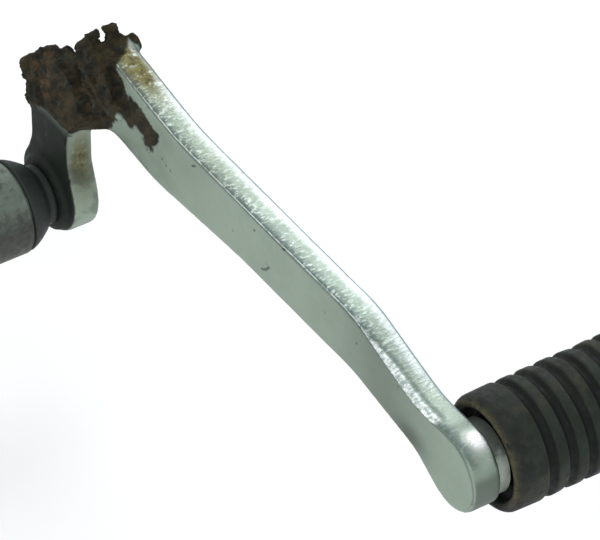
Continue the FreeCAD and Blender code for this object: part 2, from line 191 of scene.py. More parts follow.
def ramp(values, low, high):
    """Smooth step of an array from 0 at low to 1 at high."""
    share = np.clip((values - low) / (high - low), 0, 1)
    return share * share * (3 - 2 * share)


def bell(values, centre, width):
    """Hump of an array, 1 at centre and fading over width."""
    return np.exp(-((values - centre) / width) ** 2)


def fractal(points, size, octaves=4, seed=0.0):
    """Fractal noise of about -1 to 1 at each point, with features of the given size."""
    shift = Vector((seed * 17.3, seed * 5.1, seed * 9.7))
    return np.array([noise.fractal(Vector(point) / size + shift, 0.8, 2.1, octaves) for point in points])


def inside_by(points, outline):
    """Signed distance in millimetres into an outline of the X-Z plane: positive inside."""
    across = points[:, [0, 2]] / MM
    corners = np.array(outline, float)
    after = np.roll(corners, -1, axis=0)
    nearest = np.full(len(across), 1e9)
    inside = np.zeros(len(across), bool)
    for start, end in zip(corners, after):
        run = end - start
        share = np.clip(((across - start) @ run) / (run @ run), 0, 1)
        gap = across - start - share[:, None] * run
        nearest = np.minimum(nearest, np.hypot(gap[:, 0], gap[:, 1]))
        if start[1] != end[1]:
            crossing = start[0] + (across[:, 1] - start[1]) * run[0] / run[1]
            straddles = (start[1] > across[:, 1]) != (end[1] > across[:, 1])
            inside ^= straddles & (across[:, 0] < crossing)
    return np.where(inside, nearest, -nearest)


def lathe(name, profile, centre, steps, wobble=None):
    """A closed ring or solid turned about a line along Y through centre. The profile is a closed loop
    of (radius, Y) in millimetres; wobble(angle, radius, y) may change a point's radius and Y."""
    form = bmesh.new()
    rings = []
    for step in range(steps):
        angle = 2 * math.pi * step / steps
        ring = []
        for radius, along in profile:
            if wobble:
                radius, along = wobble(angle, radius, along)
            ring.append(form.verts.new((centre.x + radius * MM * math.cos(angle), along * MM,
                                        centre.z + radius * MM * math.sin(angle))))
        rings.append(ring)
    count = len(profile)
    for step in range(steps):
        ring, after = rings[step], rings[(step + 1) % steps]
        for index in range(count):
            following = (index + 1) % count
            form.faces.new((ring[index], ring[following], after[following], after[index]))
    bmesh.ops.remove_doubles(form, verts=form.verts, dist=1e-7)
    return from_bmesh(name, form)


# --- material helpers --------------------------------------------------------------------------

class Shader:
    """A node material. Every method returns an output socket."""

    def __init__(self, name):
        self.material = bpy.data.materials.new(name)
        self.material.use_nodes = True
        self.tree = self.material.node_tree
        self.surface = self.tree.nodes["Principled BSDF"]
        self.place = self.new("ShaderNodeTexCoord").outputs["Object"]

    def new(self, kind, **settings):
        node = self.tree.nodes.new(kind)
        for name, value in settings.items():
            setattr(node, name, value)
        return node

    def put(self, socket, value):
        if isinstance(value, bpy.types.NodeSocket):
            self.tree.links.new(value, socket)
        elif isinstance(value, tuple) and len(value) == 3 and socket.type == "RGBA":
            socket.default_value = (*value, 1.0)
        else:
            socket.default_value = value

    def stretched(self, x, y, z):
        node = self.new("ShaderNodeMapping")
        node.inputs["Scale"].default_value = (x, y, z)
        self.put(node.inputs["Vector"], self.place)
        return node.outputs["Vector"]

    def slanted(self, down, up):
        """Coordinates turned 45 degrees about Y, to stretch features along +X-Z and along +X+Z."""
        node = self.new("ShaderNodeMapping", vector_type="TEXTURE")
        node.inputs["Rotation"].default_value = (0, math.radians(45), 0)
        node.inputs["Scale"].default_value = (down, 1.0, up)
        self.put(node.inputs["Vector"], self.place)
        return node.outputs["Vector"]

    def axis(self, letter):
        node = self.new("ShaderNodeSeparateXYZ")
        self.put(node.inputs["Vector"], self.place)
        return node.outputs[letter]

    def cloud(self, size, detail=4.0, rough=0.55, vector=None):
        """Noise from 0 to 1 with features of the given size in millimetres."""
        node = self.new("ShaderNodeTexNoise")
        node.inputs["Scale"].default_value = 1 / (size * MM)
        node.inputs["Detail"].default_value = detail
        node.inputs["Roughness"].default_value = rough
        self.put(node.inputs["Vector"], vector or self.place)
        return node.outputs["Fac"]

    def cells(self, size):
        """Distance to the nearest of many scattered points, spaced by the given size in millimetres."""
        node = self.new("ShaderNodeTexVoronoi")
        node.inputs["Scale"].default_value = 1 / (size * MM)
        self.put(node.inputs["Vector"], self.place)
        return node.outputs["Distance"]

    def mask(self, name):
        return self.new("ShaderNodeAttribute", attribute_name=name).outputs["Fac"]

    def between(self, value, low, high, start=0.0, end=1.0):
        """Clamped map of a value from low..high to start..end."""
        node = self.new("ShaderNodeMapRange", interpolation_type="SMOOTHSTEP")
        self.put(node.inputs["Value"], value)
        for socket, number in zip(("From Min", "From Max", "To Min", "To Max"), (low, high, start, end)):
            node.inputs[socket].default_value = number
        return node.outputs["Result"]

    def maths(self, operation, first, second):
        node = self.new("ShaderNodeMath", operation=operation)
        self.put(node.inputs[0], first)
        self.put(node.inputs[1], second)
        return node.outputs["Value"]

    def blend(self, share, first, second):
        """Mix of two colours."""
        node = self.new("ShaderNodeMix", data_type="RGBA")
        self.put(node.inputs["Factor"], share)
        self.put(node.inputs[6], first)
        self.put(node.inputs[7], second)
        return node.outputs[2]

    def level(self, share, first, second):
        """Mix of two numbers."""
        node = self.new("ShaderNodeMix", data_type="FLOAT")
        self.put(node.inputs["Factor"], share)
        self.put(node.inputs[2], first)
        self.put(node.inputs[3], second)
        return node.outputs[0]

    def bump(self, height, depth, onto=None):
        """Bump of the given depth in millimetres."""
        node = self.new("ShaderNodeBump")
        node.inputs["Distance"].default_value = depth * MM
        self.put(node.inputs["Height"], height)
        if onto:
            self.put(node.inputs["Normal"], onto)
        return node.outputs["Normal"]

    def finish(self, colour, metal, rough, normal=None):
        self.put(self.surface.inputs["Base Color"], colour)
        self.put(self.surface.inputs["Metallic"], metal)
        self.put(self.surface.inputs["Roughness"], rough)
        if normal:
            self.put(self.surface.inputs["Normal"], normal)
        return self.material


def dress(piece, material):
    """Give a piece one material in place of all it had."""
    piece.data.materials.clear()
    piece.data.materials.append(material)


# Colours are linear red, green and blue.
RUST_DARK = (0.017, 0.017, 0.012)
RUST_BROWN = (0.051, 0.042, 0.022)
RUST_ORANGE = (0.165, 0.078, 0.027)
RUST_GREY = (0.040, 0.050, 0.036)

PLATE_DULL = (0.248, 0.310, 0.252)
PLATE_PALE = (0.286, 0.350, 0.290)
# The arm's top: painted shade near, frosted tones and flecks, a painted highlight far, a line along the far
# rim.
EDGE_NEAR_SHADE = (0.155, 0.205, 0.185)
EDGE_FROSTED = (0.33, 0.40, 0.345)
EDGE_FLECK = (0.54, 0.62, 0.58)
EDGE_HIGHLIGHT = (0.70, 0.78, 0.77)
EDGE_RIM = (0.27, 0.36, 0.40)
STRIP_DULL = (0.40, 0.49, 0.46)
STRIP_BRIGHT = (0.90, 0.95, 0.93)
# Painted light: shade and a glint along the near edge, and a highlight spot on the boss.
BEND_SHADE = (0.07, 0.09, 0.08)
GLINT = (0.88, 0.95, 0.96)
SPARK = (0.99, 1.0, 1.0)
GROOVE_GREY = (0.15, 0.20, 0.18)
STAIN_OLIVE = (0.135, 0.124, 0.052)
STAIN_DARK = (0.075, 0.070, 0.039)
SCRATCH = (0.03, 0.04, 0.03)
SPECK = (0.07, 0.08, 0.07)
# The grease colour also paints shade on surfaces facing down and on the boss's side bands.
GREASE_AND_SHADE = (0.011, 0.015, 0.012)
WASHER_UPPER_TONE = (0.030, 0.036, 0.030)
GREASE_BLOT = (0.05, 0.055, 0.045)
WASHER_DULL = (0.52, 0.58, 0.50)
WASHER_PALE = (0.70, 0.77, 0.69)

RUBBER_BLACK = (0.011, 0.0155, 0.012)
RUBBER_DUSTY = (0.028, 0.039, 0.030)
RUBBER_BROWN = (0.071, 0.061, 0.031)
# The darkest rubber tone is painted shade.
RUBBER_SHADE = (0.004, 0.005, 0.005)
BOOT_BLACK = (0.025, 0.032, 0.030)

# Shaded and lit tones of the housing's steel: painted light.
HOUSING_SHADED = ((0.010, 0.014, 0.010), (0.032, 0.040, 0.031))
HOUSING_LIT = ((0.112, 0.150, 0.120), (0.180, 0.225, 0.185))
HOUSING_WORN = (0.165, 0.19, 0.165)
HOUSING_TARNISH = (0.030, 0.027, 0.019)
ACETAL = ((0.42, 0.40, 0.34), (0.52, 0.50, 0.43))
FLOOR_TONES = ((0.97, 0.97, 0.97), (0.985, 0.985, 0.985))

GLINT_END = (0.119, 0.122)  # X where the line of light along the near edge fades, in metres
BARE_METAL = 0.9
PLATE_METAL = 0.92
HOUSING_METAL = 0.2
WASHER_METAL = 0.4
RUST_ROUGHNESS = 0.85
PLATE_SPECULAR = 0.16
RUBBER_SPECULAR = 0.2


def rust_colour(shader, warm=1.0):
    """Dark brown and grey rust with orange flecks, more of them where warm is higher."""
    place = shader.slanted(0.7, 1.5)
    broad = shader.between(shader.cloud(4.0, 5.0, 0.65, place), 0.38, 0.66)
    fine = shader.between(shader.cloud(1.3, 6.0, 0.7, place), 0.43, 0.68)
    brown = shader.blend(broad, RUST_DARK, RUST_BROWN)
    grey = shader.between(shader.cloud(2.6, 4.0, 0.6, place), 0.54, 0.66)
    brown = shader.blend(grey, brown, RUST_GREY)
    flecks = shader.maths("MULTIPLY", fine, shader.maths("MULTIPLY", broad, warm))
    return shader.blend(flecks, brown, RUST_ORANGE)


def top_colour(shader, strokes):
    """The arm's upper edge: painted shade along the near side, frosted in the middle, a painted highlight
    along the far side.
    """
    drift = shader.maths("MULTIPLY", shader.maths("SUBTRACT", strokes, 0.5), 2.4 * MM)
    depth = shader.maths("ADD", shader.axis("Y"), drift)
    middle_share = shader.between(depth, PLATE_NEAR + 0.6 * MM, PLATE_NEAR + 2.9 * MM)
    far_share = shader.between(depth, PLATE_NEAR + 2.9 * MM, PLATE_FAR - 0.9 * MM)
    # Painted light across the top: painted shade on the near side, a painted highlight on the far side where
    # the "bright" mask lets it reach, fading before the peg.
    colour = shader.blend(middle_share, EDGE_NEAR_SHADE, EDGE_FROSTED)
    bright = shader.mask("bright")
    flecks = shader.maths("MULTIPLY", shader.between(strokes, 0.50, 0.66), shader.level(bright, 0.2, 0.9))
    colour = shader.blend(flecks, colour, EDGE_FLECK)
    colour = shader.blend(shader.maths("MULTIPLY", far_share, bright), colour, EDGE_HIGHLIGHT)
    rim = shader.between(shader.axis("Y"), PLATE_FAR - 0.8 * MM, PLATE_FAR - 0.5 * MM)
    return shader.blend(rim, colour, EDGE_RIM)


def plated_arm():
    """Worn zinc plating, with rust, stains, grease, painted shade and painted highlights where the mesh's
    masks put them.
    """
    shader = Shader("plated_arm")
    grain = shader.cloud(0.5, 3.0, 0.6)
    patches = shader.cloud(6.0, 5.0, 0.62)
    strokes = shader.cloud(0.62, 4.0, 0.62, shader.stretched(1.0, 0.45, 1.0))
    plain = shader.blend(shader.between(patches, 0.35, 0.65), PLATE_DULL, PLATE_PALE)
    crest = shader.mask("crest")
    colour = shader.blend(crest, plain, top_colour(shader, strokes))
    beaten = shader.blend(shader.between(strokes, 0.42, 0.56), STRIP_DULL, STRIP_BRIGHT)
    colour = shader.blend(shader.mask("strip"), colour, beaten)

    # "turned" runs from 0 on the near face to 1 on a face square to it, so a band of it is a line
    # along the rounded edge between them. Two such bands are painted light: painted shade, then a painted
    # glint.
    turned = shader.mask("turned")
    rising, falling = shader.between(turned, 0.10, 0.22), shader.between(turned, 0.40, 0.50, 1.0, 0.0)
    shadow = shader.maths("MULTIPLY", rising, falling)
    colour = shader.blend(shader.maths("MULTIPLY", shadow, 0.45), colour, BEND_SHADE)
    rising, falling = shader.between(turned, 0.47, 0.54), shader.between(turned, 0.58, 0.68, 1.0, 0.0)
    glint = shader.maths("MULTIPLY", rising, falling)
    broken = shader.between(shader.cloud(1.4, 4.0, 0.6), 0.38, 0.54, 0.25, 1.0)
    before_peg = shader.between(shader.axis("X"), *GLINT_END, 1.0, 0.0)
    broken = shader.maths("MULTIPLY", broken, before_peg)
    colour = shader.blend(shader.maths("MULTIPLY", glint, broken), colour, GLINT)
    # A painted highlight spot on the boss.
    colour = shader.blend(shader.mask("spark"), colour, SPARK)
    colour = shader.blend(shader.mask("line"), colour, GROOVE_GREY)

    blots = shader.cloud(1.5, 6.0, 0.7)
    stain = shader.maths("MULTIPLY", shader.mask("stain"), shader.between(blots, 0.30, 0.47))
    stained = shader.blend(shader.between(blots, 0.5, 0.62), STAIN_OLIVE, STAIN_DARK)
    colour = shader.blend(stain, colour, stained)
    colour = shader.blend(shader.between(shader.mask("mark"), 0.16, 0.34, 0.75, 0.0), colour, SCRATCH)
    # One mask darkens with grease and with painted shade on surfaces facing down and on the boss.
    smears = shader.between(shader.cloud(3.0, 5.0, 0.65), 0.25, 0.6, 0.955, 1.03)
    grime_and_shade = shader.maths("MULTIPLY", shader.mask("grime_and_shade"), smears)
    colour = shader.blend(grime_and_shade, colour, GREASE_AND_SHADE)
    colour = shader.blend(shader.between(shader.cells(4.2), 0.05, 0.10, 0.5, 0.0), colour, SPECK)
    rust = shader.mask("rust")
    warm = shader.between(shader.mask("warm"), 0.0, 1.0, 0.25, 1.0)
    colour = shader.blend(rust, colour, rust_colour(shader, warm))

    rough = shader.level(crest, 0.40, 0.33)
    rough = shader.level(shader.between(patches, 0.3, 0.7), rough, 0.48)
    rough = shader.level(grime_and_shade, rough, 0.62)
    rough = shader.level(rust, rough, RUST_ROUGHNESS)
    metal = shader.level(rust, shader.level(grime_and_shade, PLATE_METAL, 0.0), 0.0)
    shader.surface.inputs["Specular IOR Level"].default_value = PLATE_SPECULAR
    pits = shader.bump(shader.maths("MULTIPLY", strokes, crest), 0.22)
    pits = shader.bump(grain, 0.02, pits)
    rugged = shader.cloud(1.1, 8.0, 0.75, shader.slanted(0.8, 1.3))
    flakes = shader.bump(shader.maths("MULTIPLY", rugged, rust), 1.1, pits)
    return shader.finish(colour, metal, rough, flakes)


def rubber(name, dusty=0.5, brown=True, low=RUBBER_BLACK):
    """Black rubber, dusty in patches; a brown one also takes its dirt and its painted shade from masks."""
    shader = Shader(name)
    dust = shader.between(shader.cloud(4.0, 6.0, 0.65), 0.35, 0.7)
    fine = shader.cloud(0.45, 4.0, 0.7)
    colour = shader.blend(shader.maths("MULTIPLY", dust, dusty), low, RUBBER_DUSTY)
    if brown:
        blots = shader.between(shader.cloud(2.0, 6.0, 0.7), 0.35, 0.62)
        dirt = shader.maths("MULTIPLY", shader.mask("dirt"), blots)
        colour = shader.blend(dirt, colour, RUBBER_BROWN)
        colour = shader.blend(shader.mask("depth_shade"), colour, RUBBER_SHADE)
    rough = shader.between(shader.cloud(1.5, 5.0, 0.6), 0.3, 0.7, 0.52, 0.72)
    shader.surface.inputs["Specular IOR Level"].default_value = RUBBER_SPECULAR
    return shader.finish(colour, 0.0, rough, shader.bump(fine, 0.05))


def worn_metal(name, low, high, rough, rusty):
    """Mottled bare or plated metal between two colours, with rust in patches."""
    shader = Shader(name)
    patches = shader.cloud(2.5, 6.0, 0.65)
    colour = shader.blend(shader.between(patches, 0.32, 0.68), low, high)
    lines = shader.cloud(0.6, 4.0, 0.6, shader.stretched(1.0, 5.0, 1.0))
    shade = shader.between(lines, 0.3, 0.7, rough - 0.08, rough + 0.12)
    normal = shader.bump(lines, 0.03)
    if rusty:
        spots = shader.between(shader.cloud(1.6, 7.0, 0.72), 0.66 - rusty, 0.76 - rusty)
        colour = shader.blend(spots, colour, rust_colour(shader))
        shade = shader.level(spots, shade, 0.9)
        return shader.finish(colour, shader.level(spots, BARE_METAL, 0.0), shade,
                             shader.bump(shader.cloud(0.7, 6.0, 0.7), 0.12, normal))
    return shader.finish(colour, BARE_METAL, shade, normal)


# --- the lever arm and its rust crust ----------------------------------------------------------
# The crust is part of the arm's skin: lumps are joined to the plate, the whole is remeshed, notches are
# cut into it and noise roughens it where the rust mask says so. It caps the bolt's head, which turns
# inside it.

# The borders of the rust and of the two lobes are outlines in X and Z, in millimetres.
RUST_OUTLINE = [
    (6, 30), (17.5, 30), (17.6, 20.5), (16.6, 17.6), (20, 15), (20.5, 13), (27, 12.6), (32, 10.3),
    (32, 8.3), (29, 4.7), (24.5, 7), (21.5, 6), (19, 6.4), (17, 4), (14.6, 0), (13, -3), (3, -10),
    (-1, -15), (-4.5, -11), (-10, -11.6), (-15, -14.8), (-18, -16), (-24, -12), (-22, 2), (-4, 16),
]
# What corrosion has left of the elbow's ragged upper rim, in millimetres across and up a plane that
# faces along BREAK_SLANT. Everything above it is eaten away.
BREAK_SLANT = Vector((-0.676, 0.385, -0.628))
BREAK_ACROSS = Vector((0.5419, 0.8404, 0.0))
BREAK_UP = Vector((-0.5525, 0.3563, 0.7535))
RAGGED_RIM = [
    (-10.9, -4.2), (-11.3, -3.1), (-11.5, -1.5), (-11.3, 0.4), (-12.1, 3.1), (-12.3, 4.6), (-11.9, 5.4),
    (-11, 6.1), (-9.8, 6.2), (-8.5, 6.9), (-7.5, 7.3), (-6.7, 7.3), (-4.8, 6.7), (-4, 7), (-2.7, 6.3),
    (-1.5, 5.7), (-1.5, 6.7), (-1, 8.1), (0.2, 9.2), (1.9, 10.2), (2.1, 9.6), (1.9, 8.3), (2.8, 7.7),
    (4.0, 8.2), (4.3, 9.4), (3.6, 10.4), (4, 11.2), (4.8, 11.4), (5.6, 10.8), (6.7, 9.5), (7.5, 9.1),
    (8.3, 9.7), (9, 9.8), (10, 9), (10.6, 7.6), (10.9, 6.2),
]
EATEN_AWAY = [(16, 12), (10, 22), (-22, 22), (-22, -4.2)]
LEFT_LOBE = [
    (-18.6, -16), (-20.5, -12), (-22, -7), (-19, -1), (-9, 8), (0, 12), (4, 8), (4, -5), (-3, -10.5),
    (-11, -11.5),
]
RIGHT_LOBE = [
    (6.6, 4.5), (6.8, 10), (3, 15), (7, 22), (11.5, 22), (12.2, 18), (16.5, 15.4), (19, 11), (16, 6),
    (11, 2.5),
]
LUMPS = [
    # X, depth and Z of each ellipsoid, then its three radii, in millimetres
    (0.0, -3.4, 0.0, 8.2, 3.0, 8.2),
    (-9.0, -2.6, -1.5, 6.0, 2.2, 5.0),
    (-13.5, -2.4, -8.5, 4.6, 2.4, 5.5),
    (-15.5, -1.0, -3.0, 4.4, 3.4, 4.0),
    (-10.5, -0.6, 3.5, 4.4, 3.6, 4.0),
    (-3.0, 0.2, 10.0, 5.0, 3.0, 4.0),
    (4.8, 2.0, 15.0, 3.0, 1.8, 3.0),
    (12.8, 4.0, 18.8, 3.2, 1.3, 2.6),
    (11.5, -3.4, 14.0, 4.4, 2.4, 4.2),
    (14.5, -3.0, 8.0, 4.6, 1.4, 4.4),
    (4.0, -1.5, 13.0, 4.0, 3.0, 4.0),
    (-4.0, 2.8, 5.0, 6.0, 1.3, 4.0),
]
# A crack between the lobes as points, and pits as points with a radius, in millimetres.
CREVICE = [(9.0, -5.6, 17.0), (7.6, -5.6, 12.0), (7.2, -5.2, 6.0), (9.5, -4.6, 2.5)]
HOLLOWS = [(9.2, -5.6, 4.4, 1.5), (12.6, -5.6, 11.6, 1.6), (10.0, -5.2, 8.0, 1.2)]
CREVICE_RADIUS = 0.8
BREAK_REACH = 45  # of the cut to each side of the plate, in millimetres
VOXEL = 0.36 * MM
# Room for the bolt's head under the crust, from the middle of the plate, and the crust left over it.
CAP_RADIUS = 6.75
CAP_DEPTH = 5.5
CAP_SKIN = 0.55
# Where the worn arm is leaner or fuller than its drawing: a factor for the pad, millimetres elsewhere.
PAD_GROWTH = 1.16
PAD_HOLE = 5
ELBOW_DROP = 0.5
WAIST_Z = -26.5
WAIST_PULL = 1.3
# The plate's upper edge near the elbow: a point of it and its slope.
EDGE_X, EDGE_Z, EDGE_SLOPE = 9.3, 19.1, -0.174
# The line where the two arms meet below the elbow: a point of it, its run, rise and length.
CROTCH_X, CROTCH_Z, CROTCH_RUN, CROTCH_RISE, CROTCH_LENGTH = 14.5, -0.1, 17.5, 12.7, 21.6
# How far noise moves the border of the rust.
RAGGEDNESS = 1.3


def break_prism(form):
    """Add everything beyond the ragged rim as a closed prism along the slant of the break."""
    outline = [BREAK_ACROSS * across * MM + BREAK_UP * up * MM for across, up in RAGGED_RIM + EATEN_AWAY]
    ends = []
    for side in (-1, 1):
        shift = on_plate(0, 0, 0) + BREAK_SLANT * side * BREAK_REACH * MM
        ends.append([form.verts.new(point + shift) for point in outline])
    form.faces.new(ends[0])
    form.faces.new(list(reversed(ends[1])))
    for index in range(len(outline)):
        after = (index + 1) % len(outline)
        form.faces.new((ends[0][index], ends[1][index], ends[1][after], ends[0][after]))


def keep_largest(piece):
    """Drop loose crumbs that a cut has left behind."""
    form = bmesh.new()
    form.from_mesh(piece.data)
    form.verts.ensure_lookup_table()
    left = set(form.verts)
    groups = []
    while left:
        seed = left.pop()
        group, edge = [seed], [seed]
        while edge:
            vertex = edge.pop()
            for link_edge in vertex.link_edges:
                other = link_edge.other_vert(vertex)
                if other in left:
                    left.remove(other)
                    group.append(other)
                    edge.append(other)
        groups.append(group)
    groups.sort(key=len)
    crumbs = [vertex for group in groups[:-1] for vertex in group]
    bmesh.ops.delete(form, geom=crumbs, context="VERTS")
    form.to_mesh(piece.data)
    form.free()


def rough_arm():
    """The plate, its bore plugged, with the crust's lumps joined on and its ragged rim cut."""
    form = bmesh.new()
    form.from_mesh(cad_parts["lever_arm"].data)
    for vertex in form.verts:
        place = vertex.co
        to_joint = Vector((place.x - JOINT.x, 0, place.z - JOINT.z))
        if place.z > 8 * MM:
            place.z -= ELBOW_DROP * MM * min(1.0, max(0.0, 1.6 - place.x / (25 * MM)))
        elif place.y < PLATE_NEAR - 0.05 * MM and to_joint.length > PAD_HOLE * MM:
            place += to_joint * (PAD_GROWTH - 1)
        elif place.x < -13 * MM:
            place.x += WAIST_PULL * MM * bell(place.z, WAIST_Z * MM, 4 * MM)
    add_rod(form, on_plate(0, -2.9, 0), on_plate(0, 2.9, 0), BUSH_RADIUS + 0.3 * MM, 48)
    add_slab(form, LEFT_LOBE, -4.0, 1.5)
    add_slab(form, RIGHT_LOBE, -5.0, 2.9)
    for x, depth, z, *radii in LUMPS:
        add_lump(form, on_plate(x, depth, z), [radius * MM for radius in radii])
    piece = from_bmesh("lever_arm_skin", form)
    remesh(piece, VOXEL * 1.4)
    cuts = bmesh.new()
    break_prism(cuts)
    subtract(piece, cuts)
    cuts = bmesh.new()
    for start, end in zip(CREVICE, CREVICE[1:]):
        add_rod(cuts, on_plate(*start), on_plate(*end), CREVICE_RADIUS * MM, 16)
    for x, depth, z, radius in HOLLOWS:
        add_lump(cuts, on_plate(x, depth, z), [radius * MM] * 3, 2)
    subtract(piece, cuts, True)
    remesh(piece, VOXEL, 1)
    keep_largest(piece)
    return piece


def crust_mask(points):
    """Share of rust and depth into the rusted area; on top the rust ends sooner towards the far side.
    Whatever stands proud of the plate's upper edge or far face near the elbow is rust too."""
    skewed = points.copy()
    skewed[:, 0] += ramp(points[:, 2], 14 * MM, 16 * MM) * 0.7 * (points[:, 1] - PLATE_NEAR)
    depth = inside_by(skewed, RUST_OUTLINE)
    rust = ramp(depth + fractal(points, 3.2 * MM, 5, 2.0) * RAGGEDNESS, -0.25, 0.35)
    above = points[:, 2] / MM - (EDGE_Z + EDGE_SLOPE * (points[:, 0] / MM - EDGE_X))
    beyond = ramp(points[:, 1], PLATE_FAR + 0.1 * MM, PLATE_FAR + 0.35 * MM)
    proud = np.maximum(ramp(above, 0.25, 0.6), beyond)
    return np.where(points[:, 0] < 20 * MM, np.maximum(rust, proud), rust), depth


def above_crotch(points):
    """Distance in millimetres above the line where the two arms meet below the elbow."""
    across = (points[:, 0] / MM - CROTCH_X) * -CROTCH_RISE
    return (across + (points[:, 2] / MM - CROTCH_Z) * CROTCH_RUN) / CROTCH_LENGTH


def lump_crust(mesh):
    """Push the rusted skin in and out, keeping the crust's lid clear of the bolt's head."""
    points = points_of(mesh)
    normals = normals_of(mesh)
    rust, depth = crust_mask(points)
    swell = fractal(points, 3.6 * MM, 5, 1.0) * 0.9 + fractal(points, 1.1 * MM, 4, 3.0) * 0.24
    facing = ramp(np.abs(normals[:, 1]), 0.3, 0.8)
    swell = np.where(swell > 0, swell * (0.45 + 0.55 * facing), swell) - 0.15 * (1 - facing)
    calm = np.where(points[:, 0] > -6 * MM, ramp(above_crotch(points), 0.4, 2.8), 1)
    crusty = rust * ramp(depth, -0.5, 3.0) * calm
    dents = fractal(points, 9 * MM, 3, 5.0) * 0.05
    points += normals * ((swell * crusty + dents * (1 - crusty)) * MM)[:, None]
    reach = np.hypot(points[:, 0], points[:, 2]) / MM
    lid = PLATE_MID - (CAP_DEPTH + CAP_SKIN - 0.25 * swell) * MM
    capped = (reach < CAP_RADIUS + 0.7) & (normals[:, 1] < -0.1) & (points[:, 1] < PLATE_NEAR)
    points[:, 1] = np.where(capped, np.minimum(points[:, 1], lid), points[:, 1])
    set_points(mesh, points)


# The flattened strip on the arm's top near the peg: where along X it starts, is widest and ends.
STRIP_START, STRIP_FULL, STRIP_END = 99 * MM, 112 * MM, 123 * MM
STRIP_FADE = 2 * MM
STRIP_SLOPE = 0.22
GROOVE_DEPTH = 0.26


def strip_edge(points):
    """Depth along Y of the flattened strip's inner border on the top of the arm near the peg."""
    return PLATE_NEAR + (0.4 + 1.6 * ramp(points[:, 0], STRIP_START, STRIP_FULL)) * MM


def flatten_strip(mesh):
    """Dress down the near side of the arm's top towards the peg, with a shallow groove behind it."""
    points = points_of(mesh)
    normals = normals_of(mesh)
    share = ramp(points[:, 0], STRIP_START, STRIP_START + 6 * MM)
    share = share * ramp(-points[:, 0], -STRIP_END - STRIP_FADE, -STRIP_END)
    share *= ramp(normals[:, 2], 0.5, 0.8)
    past = (points[:, 1] - strip_edge(points)) / MM
    slope = np.clip(-past, 0, 2.4) * STRIP_SLOPE
    groove = GROOVE_DEPTH * bell(past, 0.0, 0.4)
    points[:, 2] -= (slope + groove) * share * MM
    set_points(mesh, points)


MARKS = [
    # scratches and nicks of the near face as points in X and Z, in millimetres
    [(67.8, 4.0), (69.2, 4.75), (70.6, 6.4)],
    [(65.4, 11.5), (65.7, 11.8)],
    [(75.0, 14.0), (75.6, 14.1)],
    [(33.2, 6.1), (33.4, 5.8)],
    [(34.6, 5.4), (34.7, 5.2)],
    [(36.1, 5.2), (36.3, 5.0)],
    [(99.4, 9.5), (99.6, 9.6)],
    [(58.0, 6.2), (58.1, 6.1)],
    [(44.0, 11.8), (45.2, 12.6)],
]


def mark_distance(points, normals):
    """Distance in millimetres from the nearest scratch of the near face."""
    across = points[:, [0, 2]] / MM
    nearest = np.full(len(points), 9.0)
    for stroke in MARKS:
        for start, end in zip(np.array(stroke), np.array(stroke[1:])):
            run = end - start
            share = np.clip(((across - start) @ run) / (run @ run), 0, 1)
            gap = across - start - share[:, None] * run
            nearest = np.minimum(nearest, np.hypot(gap[:, 0], gap[:, 1]))
    return np.where(normals[:, 1] < -0.6, nearest, 9.0)


def grime_and_shade_mask(points, normals):
    """Dark grease over the short arm's near face and the ball joint's pad, thinner in patches on the short
    arm's inner side;
    painted shade on surfaces facing down; darker in a smudge and a broad band on the near face before the
    peg."""
    along, lower = points[:, 0] / MM, -points[:, 2] / MM
    facing = ramp(-normals[:, 1], 0.5, 0.8)
    short_arm = facing * (0.66 * ramp(lower, 6.0, 9.5) + 0.34 * ramp(lower, 11.0, 15.0))
    short_arm = np.where(along < 8, short_arm, 0)
    to_joint = np.hypot(along - JOINT.x / MM, lower + JOINT.z / MM)
    pad = ramp(-to_joint, -9.2, -8.4) * ramp(-points[:, 1], -PLATE_NEAR - 0.5 * MM, -PLATE_NEAR - 0.1 * MM)
    # Painted shade: surfaces facing down are darkened.
    underside = ramp(-normals[:, 2], 0.4, 0.8) * 0.5
    mottle = 0.34 * ramp(fractal(points, 5 * MM, 4, 6.0), 0.0, 0.5)
    inner = ramp(normals[:, 0], 0.5, 0.8) * (bell(lower, 21, 7.0) * 0.2 + mottle) * (along < 8) * (lower > 11)
    near_peg = facing * (0.45 * np.exp(-((along - 117) / 5.0) ** 2 - ((lower + 0.5) / 2.8) ** 2)
                         + 0.36 * bell(along, 108, 12.0))
    return np.clip(short_arm + underside + inner + near_peg, 0, 1) * (1 - pad) + pad


def boss_masks(points, normals):
    """Painted highlight spot, tan stain patch and painted shade bands round the arm's end at the peg, by
    angle and depth.
    """
    angle = np.degrees(np.arctan2(points[:, 2] - PEG.z, points[:, 0] - PEG.x))
    depth = (points[:, 1] - PLATE_MID) / MM
    side = ramp(-np.abs(normals[:, 1]), -0.6, -0.3) * ramp(points[:, 0], 122 * MM, 125 * MM)
    spark = side * np.clip(1.6 * bell(angle, 72, 12) * bell(depth, 1.2, 1.5), 0, 1)
    tan = side * bell(angle, 46, 7) * bell(depth, -1.0, 1.3) * 0.25
    boss_shade = side * (ramp(-angle, -30, -14) * 0.55 + 0.2 * bell(angle, 100, 12))
    return spark, tan, boss_shade


